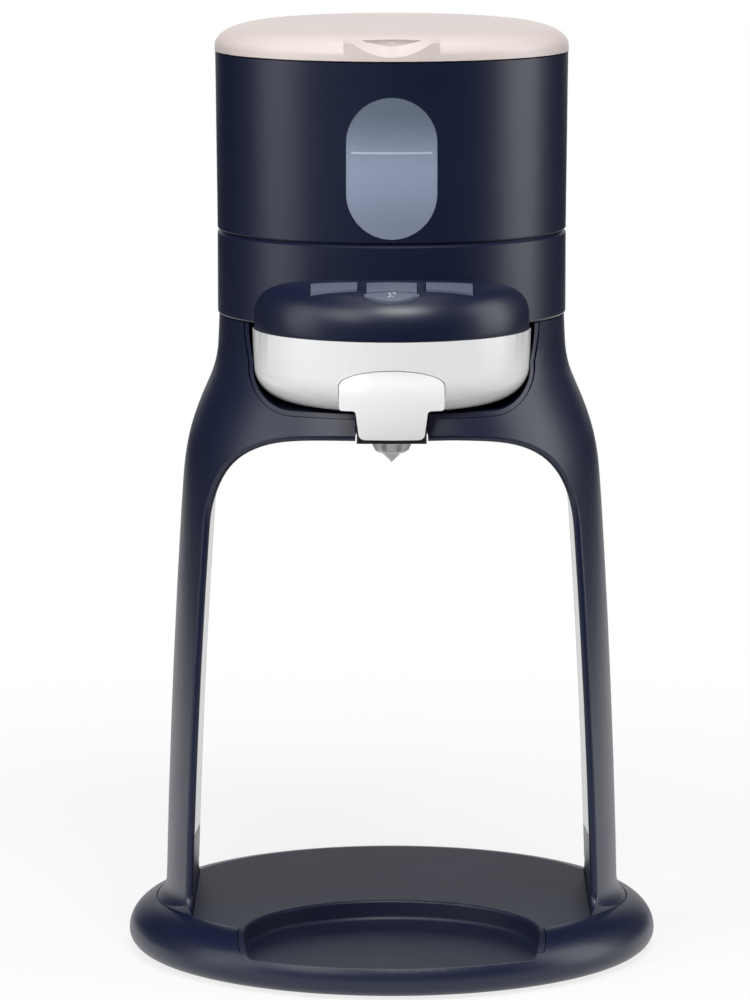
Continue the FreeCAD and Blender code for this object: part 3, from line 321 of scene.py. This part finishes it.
def lay_skin(tree, shader, colour, rough, grain=grain_scale, depth=0.5, swing=0.04,
             shade=0.06, bump=0.06):
    """Wire the moulded skin into a material's colour, roughness and normal."""
    skin = add_node(tree, "ShaderNodeGroup")
    skin.node_tree = moulded_skin
    skin.inputs["Grain Scale"].default_value = grain
    skin.inputs["Roughness"].default_value = rough
    skin.inputs["Roughness Swing"].default_value = swing
    skin.inputs["Grain Depth"].default_value = depth
    skin.inputs["Shade Swing"].default_value = shade
    tint = add_node(tree, "ShaderNodeVectorMath", operation="SCALE")
    if isinstance(colour, tuple):
        tint.inputs[0].default_value = colour
    else:
        wire(tree, colour, tint.inputs[0])
    wire(tree, skin.outputs["Shade"], tint.inputs["Scale"])
    wire(tree, tint.outputs["Vector"], shader.inputs["Base Color"])
    wire(tree, skin.outputs["Roughness"], shader.inputs["Roughness"])
    relief = add_node(tree, "ShaderNodeBump")
    relief.inputs["Strength"].default_value = bump
    relief.inputs["Distance"].default_value = relief_depth
    wire(tree, skin.outputs["Height"], relief.inputs["Height"])
    wire(tree, relief.outputs["Normal"], shader.inputs["Normal"])


def moulded(name, colour, rough, metal=0.0, clear=0.0, **options):
    """Material with the moulded skin, plain or metal, solid or a little clear."""
    material, tree, shader = blank_material(name)
    shader.inputs["Metallic"].default_value = metal
    shader.inputs["Transmission Weight"].default_value = clear
    lay_skin(tree, shader, colour, rough, **options)
    return material


def make_lens():
    """Frosted window: paler in the middle, darker towards the bottom and darkest towards the
    top, under a thin level line.
    """
    material, tree, shader = blank_material("frosted_lens")
    place = add_node(tree, "ShaderNodeTexCoord")
    axes = split_place(tree, place.outputs["Object"])
    low, middle, high = lens_heights
    upper = map_range(tree, axes["Z"], middle, high)
    lower = map_range(tree, axes["Z"], low, middle)
    colour = mix_colour(tree, lower, lens_low, lens_middle)
    colour = mix_colour(tree, upper, colour, lens_high)
    off_line = math_node(tree, "ABSOLUTE", math_node(tree, "SUBTRACT", axes["Z"], level_height))
    on_line = map_range(tree, off_line, level_thickness, level_thickness / 2)
    across = math_node(tree, "ABSOLUTE", axes["X"])
    inside = map_range(tree, across, level_half + level_thickness, level_half)
    line = math_node(tree, "MULTIPLY", on_line, inside)
    colour = mix_colour(tree, line, colour, lens_line)
    lay_skin(tree, shader, colour, 0.42, grain=fine_grain_scale)
    return material


finish = {
    "navy": moulded("navy_satin", (0.0050, 0.0090, 0.0320), 0.36),
    "navy_base": moulded("navy_base", (0.0045, 0.0080, 0.0280), 0.50),
    "navy_liner": moulded("navy_polished", (0.0050, 0.0080, 0.0260), 0.14, bump=0.02),
    "dark": moulded("dark_moulding", (0.02, 0.02, 0.024), 0.5),
    "rubber": moulded("black_rubber", (0.02, 0.02, 0.021), 0.75, bump=0.15),
    "white": moulded("white_gloss", (0.86, 0.86, 0.865), 0.16, shade=0.01, bump=0.02),
    "blush": moulded("blush_satin", (0.70, 0.615, 0.590), 0.36, shade=0.02),
    "steel": moulded("plain_steel", (0.55, 0.55, 0.56), 0.3, metal=1.0,
                     grain=brushed_grain_scale),
    "board": moulded("circuit_board", (0.02, 0.12, 0.05), 0.4),
    "silicone": moulded("milky_silicone", (0.7, 0.7, 0.68), 0.4),
    "frost": moulded("frosted_tank", (0.62, 0.66, 0.72), 0.45, clear=0.5,
                     grain=fine_grain_scale),
    "lens": make_lens(),
    "key": moulded("translucent_key", (0.10, 0.12, 0.17), 0.35),
    "mark": moulded("pale_print", (0.45, 0.47, 0.52), 0.5),
    "nozzle": moulded("translucent_nozzle", (0.82, 0.83, 0.85), 0.25, clear=0.15),
}

node_finish = {
    "navy": ["base_ring", "stand_frame", "head_band", "control_dome", "tank_sleeve",
             "drawer_bay"],
    "navy_base": ["base_plate"],
    "navy_liner": ["arch_liner"],
    "dark": ["mixing_chamber", "base_cover", "cord_gland", "dome_floor", "chassis_tray",
             "tank_deck", "water_pump", "key_switches"],
    "rubber": ["rubber_feet", "outlet_seal", "dock_seal", "lid_seal", "power_lead"],
    "steel": ["cover_screws", "leg_screws", "ballast_weight", "tray_screws", "deck_screws",
              "hinge_pin", "boiler", "temperature_sensor"],
    "board": ["control_board", "power_board"],
    "blush": ["lid"],
    "white": ["powder_bowl", "spout_cover", "dock_socket", "water_outlet",
              "tank_valve", "valve_plunger"],
    "lens": ["level_window"],
    "nozzle": ["nozzle"],
    "key": ["key_left", "key_centre", "key_right", "key_front"],
    "frost": ["water_tank"],
    "silicone": ["suction_hose", "pressure_hose", "hot_hose"],
}


def finish_nodes():
    for label, names in node_finish.items():
        for name in names:
            mesh = nodes[name].data
            mesh.materials.clear()
            mesh.materials.append(finish[label])


# Modelling helpers

def take_piece(name):
    """Name the object just added and put its place into its mesh."""
    piece = bpy.context.object
    piece.name = name
    bpy.ops.object.transform_apply(location=True, rotation=True, scale=True)
    return piece


def activate(piece):
    deselect()
    piece.select_set(True)
    bpy.context.view_layer.objects.active = piece


def apply_modifier(piece, kind, **settings):
    activate(piece)
    modifier = piece.modifiers.new(kind.lower(), kind)
    for name, value in settings.items():
        setattr(modifier, name, value)
    bpy.ops.object.modifier_apply(modifier=modifier.name)


def thicken(piece, wall):
    """Give an open skin its wall, on the inside."""
    apply_modifier(piece, "SOLIDIFY", thickness=wall, offset=-1.0)


def combine(piece, operation, tool):
    """Join, cut or trim a piece with a closed tool, which is used up."""
    apply_modifier(piece, "BOOLEAN", operation=operation, object=tool, solver="EXACT")
    bpy.data.objects.remove(tool, do_unlink=True)


def draw_rings(name, profile):
    """Draw a circle up ring by ring along a profile of radius and height."""
    deselect()
    radius, height = profile[0]
    bpy.ops.mesh.primitive_circle_add(vertices=turns, radius=radius, location=(0, 0, height))
    piece = take_piece(name)
    bpy.ops.object.mode_set(mode="EDIT")
    bpy.ops.mesh.select_all(action="SELECT")
    for new_radius, new_height in profile[1:]:
        move = {"value": (0, 0, new_height - height)}
        bpy.ops.mesh.extrude_region_move(TRANSFORM_OT_translate=move)
        share = new_radius / radius
        bpy.ops.transform.resize(value=(share, share, 1), center_override=(0, 0, new_height))
        radius, height = new_radius, new_height
    bpy.ops.object.mode_set(mode="OBJECT")
    return piece


def draw_bowl(name, profile):
    """Draw rings and close the last one to a point."""
    piece = draw_rings(name, profile)
    activate(piece)
    bpy.ops.object.mode_set(mode="EDIT")
    bpy.ops.mesh.merge(type="CENTER")
    bpy.ops.mesh.select_all(action="SELECT")
    bpy.ops.mesh.normals_make_consistent(inside=False)
    bpy.ops.object.mode_set(mode="OBJECT")
    return piece


def fill_open_end(piece):
    """Close a drawn skin across its first ring, so that it can trim or be trimmed."""
    activate(piece)
    bpy.ops.object.mode_set(mode="EDIT")
    bpy.ops.mesh.select_all(action="DESELECT")
    bpy.ops.mesh.select_non_manifold()
    bpy.ops.mesh.edge_face_add()
    bpy.ops.mesh.select_all(action="SELECT")
    bpy.ops.mesh.normals_make_consistent(inside=False)
    bpy.ops.object.mode_set(mode="OBJECT")


def add_block(name, low, high):
    """Add a box between two corners."""
    deselect()
    middle = [(a + b) / 2 for a, b in zip(low, high)]
    bpy.ops.mesh.primitive_cube_add(size=1, location=middle)
    bpy.context.object.scale = [b - a for a, b in zip(low, high)]
    return take_piece(name)


def add_rod(name, radius, length, middle, turn=(0, 0, 0), sides=turns):
    deselect()
    bpy.ops.mesh.primitive_cylinder_add(vertices=sides, radius=radius, depth=length,
                                        location=middle, rotation=turn)
    return take_piece(name)


def head_rod(name, radius, y=0):
    """Upright tool, taller than the head, about its axis or in front of it."""
    return add_rod(name, radius, head_tool_reach, (0, y, head_tool_z))


def drawer_rod(name, radius):
    """Upright tool about the drawer's axis."""
    return add_rod(name, radius, drawer_tool_reach, (0, drawer_y, drawer_tool_z))


def hinge_rod(name, radius, length, sides):
    """Tool or knuckle along the lid's hinge."""
    return add_rod(name, radius, length, (0, hinge_y, hinge_z), (0, math.pi / 2, 0), sides)


def lift_corners(piece, chosen, shift):
    """Move only the corners that a test picks."""
    activate(piece)
    for item in (*piece.data.edges, *piece.data.polygons):
        item.select = False
    for corner in piece.data.vertices:
        corner.select = chosen(corner.co)
    bpy.ops.object.mode_set(mode="EDIT")
    bpy.ops.transform.translate(value=shift)
    bpy.ops.object.mode_set(mode="OBJECT")


def move_to_drawer(piece):
    for corner in piece.data.vertices:
        corner.co.y += drawer_y


def soften(piece, width, angle=35.0, segments=3):
    """Round the sharp edges a little and smooth the rest."""
    apply_modifier(piece, "BEVEL", width=width, segments=segments, limit_method="ANGLE",
                   angle_limit=math.radians(angle), use_clamp_overlap=True)
    activate(piece)
    bpy.ops.object.shade_smooth_by_angle(angle=math.radians(angle))


def dress(piece, label, body, *replaced):
    """Give a finished piece its finish and the body that it rides on."""
    piece.data.materials.clear()
    piece.data.materials.append(finish[label])
    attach(piece, body)
    if replaced:
        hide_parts(*replaced)


def quarter(steps, first, last):
    """Angles of the numbered steps of a quarter turn."""
    return [math.pi / 2 * step / steps for step in range(first, last)]


# Lid

def lid_profile():
    """Outer skin of the lid: upright rim, rounded shoulder and shallow crown."""
    profile = [(lid_radius, lid_rim)]
    for turn in quarter(lid_steps, 0, lid_steps):
        radius = lid_radius * math.cos(turn) ** (2 / lid_fullness)
        profile.append((radius, lid_side_top + (lid_crown - lid_side_top) * math.sin(turn)))
    return profile


def make_tab():
    """Thumb tab: a flush block on the rim with a slanting top."""
    tab = add_block("lid_tab", (-tab_half, -lid_radius - tab_overhang, lid_rim),
                    (tab_half, tab_back, tab_front_top))
    lift_corners(tab, lambda co: co.y > -lid_radius and co.z > lid_side_top,
                 (0, 0, tab_back_top - tab_front_top))
    trim = add_rod("tab_trim", lid_radius, tab_tool_reach, (0, 0, lid_rim + tab_tool_rise))
    combine(tab, "INTERSECT", trim)
    return tab


def make_scoop():
    """Slanting cutter for the thumb scoop, blunt at the back."""
    back_y, back_z = scoop_back
    front_y, front_z = scoop_front
    slant = math.atan2(back_z - front_z, back_y - front_y)
    along = (math.cos(slant), math.sin(slant))
    up = (-math.sin(slant), math.cos(slant))
    half = tab_tool_reach / 2
    middle = (0, back_y - along[0] * half + up[0] * scoop_radius,
              back_z - along[1] * half + up[1] * scoop_radius)
    return add_rod("scoop", scoop_radius, tab_tool_reach, middle, (slant + math.pi / 2, 0, 0))


def make_plug():
    """Ring under the lid that plugs into the tank."""
    plug = draw_rings("lid_plug", [(plug_radius, plug_bottom), (plug_radius, plug_top)])
    thicken(plug, plug_wall)
    return plug


def make_lid():
    lid = draw_bowl("blush_lid", lid_profile())
    thicken(lid, lid_wall)
    combine(lid, "UNION", make_tab())
    combine(lid, "DIFFERENCE", make_scoop())
    combine(lid, "UNION", make_plug())
    arm = add_block("lid_arm", (-knuckle_half, lid_radius - arm_root, lid_rim + arm_rise),
                    (knuckle_half, hinge_y, hinge_z + knuckle_radius))
    combine(lid, "UNION", arm)
    knuckle = hinge_rod("lid_knuckle", knuckle_radius, 2 * knuckle_half, small_turns)
    combine(lid, "UNION", knuckle)
    combine(lid, "DIFFERENCE", hinge_rod("lid_bore", pin_bore, 4 * knuckle_half, pin_turns))
    soften(lid, lid_edge)
    dress(lid, "blush", "lid", "lid")


# Powder bowl

def bowl_profile(grow):
    """Outer skin of the bowl, grown by a length, from its lip to its bottom."""
    reach, rise = bowl_corner
    foot = bowl_radius - bowl_taper + grow
    profile = [(bowl_radius + grow, bowl_top), (foot, bowl_bottom + rise)]
    for turn in quarter(bowl_steps, 1, bowl_steps + 1):
        radius = foot - reach + reach * math.cos(turn)
        profile.append((radius, bowl_bottom + rise - rise * math.sin(turn) - grow))
    profile.append((bowl_last_ring, bowl_bottom - grow))
    return profile


def spout_plug(name, grow):
    """Closed shape of the spout's upper outline, run through the bowl's front."""
    half = spout_half + grow
    front = drawer_tool_front
    plug = add_block(name, (-half, front, bowl_bottom - niche_drop),
                     (half, drawer_y, spout_arch_z))
    deselect()
    bpy.ops.mesh.primitive_cylinder_add(vertices=turns, radius=1, depth=drawer_y - front,
                                        location=(0, (front + drawer_y) / 2, spout_arch_z),
                                        rotation=(math.pi / 2, 0, 0))
    bpy.context.object.scale = (half, spout_arch_rise + grow, 1)
    combine(plug, "UNION", take_piece(name + "_arch"))
    return plug


def make_pad():
    """Backing of the niche that the spout's cover sits in."""
    trim = draw_bowl("pad_trim", bowl_profile(-pad_inset))
    move_to_drawer(trim)
    fill_open_end(trim)
    pad = spout_plug("bowl_pad", bowl_wall)
    combine(pad, "INTERSECT", trim)
    combine(pad, "DIFFERENCE", drawer_rod("pad_back", niche_radius - bowl_wall))
    return pad


def make_niche():
    niche = spout_plug("niche", 0)
    combine(niche, "DIFFERENCE", drawer_rod("niche_back", niche_radius))
    return niche


def make_bowl():
    bowl = draw_bowl("milk_bowl", bowl_profile(0))
    move_to_drawer(bowl)
    thicken(bowl, bowl_wall)
    combine(bowl, "UNION", make_pad())
    combine(bowl, "DIFFERENCE", make_niche())
    outlet = add_rod("outlet", outlet_radius, outlet_reach, outlet_place, sides=small_turns)
    combine(bowl, "DIFFERENCE", outlet)
    soften(bowl, bowl_edge)
    dress(bowl, "white", "drawer", "powder_bowl")


# Control dome and its keys

def dome_body(name, grow):
    """Low dome as a closed body, leaning a little to the front."""
    low = dome_bottom - dome_skirt + 2 * grow
    side_top = dome_bottom + dome_side
    edge = dome_radius + grow
    rise = dome_height - dome_side + grow
    profile = [(edge, low), (edge, side_top)]
    for turn in quarter(dome_steps, 1, dome_steps):
        radius = edge * math.cos(turn) ** dome_powers[0]
        profile.append((radius, side_top + rise * math.sin(turn) ** dome_powers[1]))
    body = draw_bowl(name, profile)
    move_to_drawer(body)
    activate(body)
    bpy.ops.object.mode_set(mode="EDIT")
    bpy.ops.mesh.select_all(action="SELECT")
    bpy.ops.transform.rotate(value=-dome_lean, orient_axis="X",
                             center_override=(0, drawer_y, dome_bottom))
    bpy.ops.object.mode_set(mode="OBJECT")
    fill_open_end(body)
    return body


def key_block(name, x_ends, y_ends, grow):
    """Upright block over a key's plan. One that is grown, to cut the dome, goes deeper."""
    low = key_bottom - (key_room if grow else 0)
    return add_block(name, (x_ends[0] - grow, y_ends[0] - grow, low),
                     (x_ends[1] + grow, y_ends[1] + grow, key_tool_top))


def side_key_plan(name, grow, side):
    """Band beside the head, on the left for side -1 and on the right for side 1."""
    inner, outer = side_key_radii
    x_ends = sorted(side * x for x in side_key_x)
    plan = key_block(name, x_ends, side_key_y, grow)
    combine(plan, "INTERSECT", head_rod("key_front_trim", outer + grow))
    combine(plan, "DIFFERENCE", head_rod("key_back_trim", inner - grow))
    return plan


def front_key_plan(name, grow):
    """Crescent in front of the centre key."""
    plan = key_block(name, (-front_key_half, front_key_half), front_key_y, grow)
    combine(plan, "INTERSECT",
            head_rod("crescent_trim", front_key_radius + grow, front_key_middle))
    return plan


def key_plans(grow):
    """Upright prisms of all four keys by node name, grown all round."""
    centre_x = (-centre_key_half, centre_key_half)
    return {"key_left": side_key_plan("left_plan", grow, -1),
            "key_right": side_key_plan("right_plan", grow, 1),
            "key_centre": key_block("centre_plan", centre_x, centre_key_y, grow),
            "key_front": front_key_plan("front_plan", grow)}


def make_dome():
    dome = dome_body("dome_cover", 0)
    combine(dome, "DIFFERENCE", dome_body("dome_hollow", -dome_wall))
    combine(dome, "DIFFERENCE", head_rod("head_trim", head_radius))
    combine(dome, "DIFFERENCE", add_block("dome_base_trim", base_tool_low,
                                          (*base_tool_back, dome_bottom)))
    for plan in key_plans(key_gap).values():
        combine(dome, "DIFFERENCE", plan)
    soften(dome, dome_edge)
    dress(dome, "navy", "root", "control_dome")


def make_keys():
    """Trim each key's prism to a surface just proud of the dome."""
    for node, key in key_plans(0).items():
        combine(key, "INTERSECT", dome_body("key_top_trim", key_proud))
        key.name = "clear_" + node
        soften(key, key_edge)
        dress(key, "key", key_bodies[node], node)


def make_key_number():
    """Plain number printed on the front key."""
    deselect()
    bpy.ops.object.text_add(location=number_place)
    words = bpy.context.object
    words.data.body = "37"
    words.data.size = number_size
    words.data.align_x = "CENTER"
    words.data.resolution_u = 4
    bpy.ops.object.convert(target="MESH")
    number = take_piece("key_number")
    apply_modifier(number, "SHRINKWRAP", target=bpy.data.objects["clear_key_front"],
                   wrap_method="PROJECT", use_project_z=True, use_negative_direction=True,
                   use_positive_direction=False, offset=number_lift)
    dress(number, "mark", key_bodies["key_front"])


# Studio: floor, backdrop, lamps and world

def mirror_ray(tree, paths):
    """One for a ray that a glossy or clear surface sends on, else zero."""
    return math_node(tree, "MAXIMUM", paths.outputs["Is Glossy Ray"],
                     paths.outputs["Is Transmission Ray"])


def make_floor():
    """Floor that the camera sees white, with the shadow kept near the machine.

    Other rays find it lit only under and behind the machine, as a paper sweep is.
    """
    deselect()
    bpy.ops.mesh.primitive_plane_add(size=floor_size)
    floor = take_piece("floor")
    material, tree, shader = blank_material("pale_floor")
    shader.inputs["Roughness"].default_value = 0.7
    shader.inputs["Specular IOR Level"].default_value = 0.1
    glow = add_node(tree, "ShaderNodeEmission")
    glow.inputs["Strength"].default_value = backdrop_white
    paths = add_node(tree, "ShaderNodeLightPath")
    spot = add_node(tree, "ShaderNodeNewGeometry").outputs["Position"]
    axes = split_place(tree, spot)
    across = math_node(tree, "ABSOLUTE", axes["X"])
    lit = math_node(tree, "MULTIPLY", math_node(tree, "LESS_THAN", across, sweep_half),
                    math_node(tree, "GREATER_THAN", axes["Y"], sweep_front))
    unseen = math_node(tree, "SUBTRACT", 1.0, paths.outputs["Is Camera Ray"])
    unlit = math_node(tree, "MULTIPLY", unseen, math_node(tree, "SUBTRACT", 1.0, lit))
    pale, dark = ((level, level, level, 1) for level in (floor_pale, room_dark))
    wire(tree, mix_colour(tree, unlit, pale, dark), shader.inputs["Base Color"])
    seen = math_node(tree, "MAXIMUM", paths.outputs["Is Camera Ray"],
                     math_node(tree, "MULTIPLY", mirror_ray(tree, paths), lit))
    away = add_node(tree, "ShaderNodeVectorMath", operation="LENGTH")
    wire(tree, spot, away.inputs[0])
    share = map_range(tree, away.outputs["Value"], *shadow_reach, floor_glow_near, 1.0)
    blend = add_node(tree, "ShaderNodeMixShader")
    wire(tree, math_node(tree, "MULTIPLY", seen, share), blend.inputs[0])
    wire(tree, shader.outputs["BSDF"], blend.inputs[1])
    wire(tree, glow.outputs["Emission"], blend.inputs[2])
    wire(tree, blend.outputs["Shader"], tree.nodes["Material Output"].inputs["Surface"])
    floor.data.materials.append(material)


def make_world():
    """White for the camera. The rest find white behind, and a dark room elsewhere."""
    world = bpy.data.worlds.new("studio")
    bpy.context.scene.world = world
    world.use_nodes = True
    tree = world.node_tree
    ground = tree.nodes["Background"]
    place = add_node(tree, "ShaderNodeTexCoord")
    axes = split_place(tree, place.outputs["Generated"])
    behind = map_range(tree, axes["Y"], *backdrop_edge, room_dark, backdrop_white)
    paths = add_node(tree, "ShaderNodeLightPath")
    share = map_range(tree, mirror_ray(tree, paths), 0.0, 1.0, backdrop_fill, 1.0,
                      smooth=False)
    level = math_node(tree, "MULTIPLY", behind, share)
    white = math_node(tree, "MULTIPLY", paths.outputs["Is Camera Ray"], backdrop_white)
    wire(tree, math_node(tree, "MAXIMUM", level, white), ground.inputs["Strength"])
    ground.inputs["Color"].default_value = (1, 1, 1, 1)


def make_lamps():
    """Soft boxes, all turned to the machine."""
    for name, (place, (width, height), power) in lamps.items():
        data = bpy.data.lights.new(name, "AREA")
        data.shape = "RECTANGLE"
        data.size = width
        data.size_y = height
        data.energy = power
        lamp = bpy.data.objects.new(name, data)
        lamp.location = place
        aim = Vector(lamp_target) - Vector(place)
        lamp.rotation_mode = "QUATERNION"
        lamp.rotation_quaternion = aim.to_track_quat("-Z", "Y")
        bpy.context.scene.collection.objects.link(lamp)


finish_nodes()
make_lid()
make_bowl()
make_dome()
make_keys()
make_key_number()
make_camera()
make_floor()
make_world()
make_lamps()
bpy.context.scene.view_settings.view_transform = "Standard"
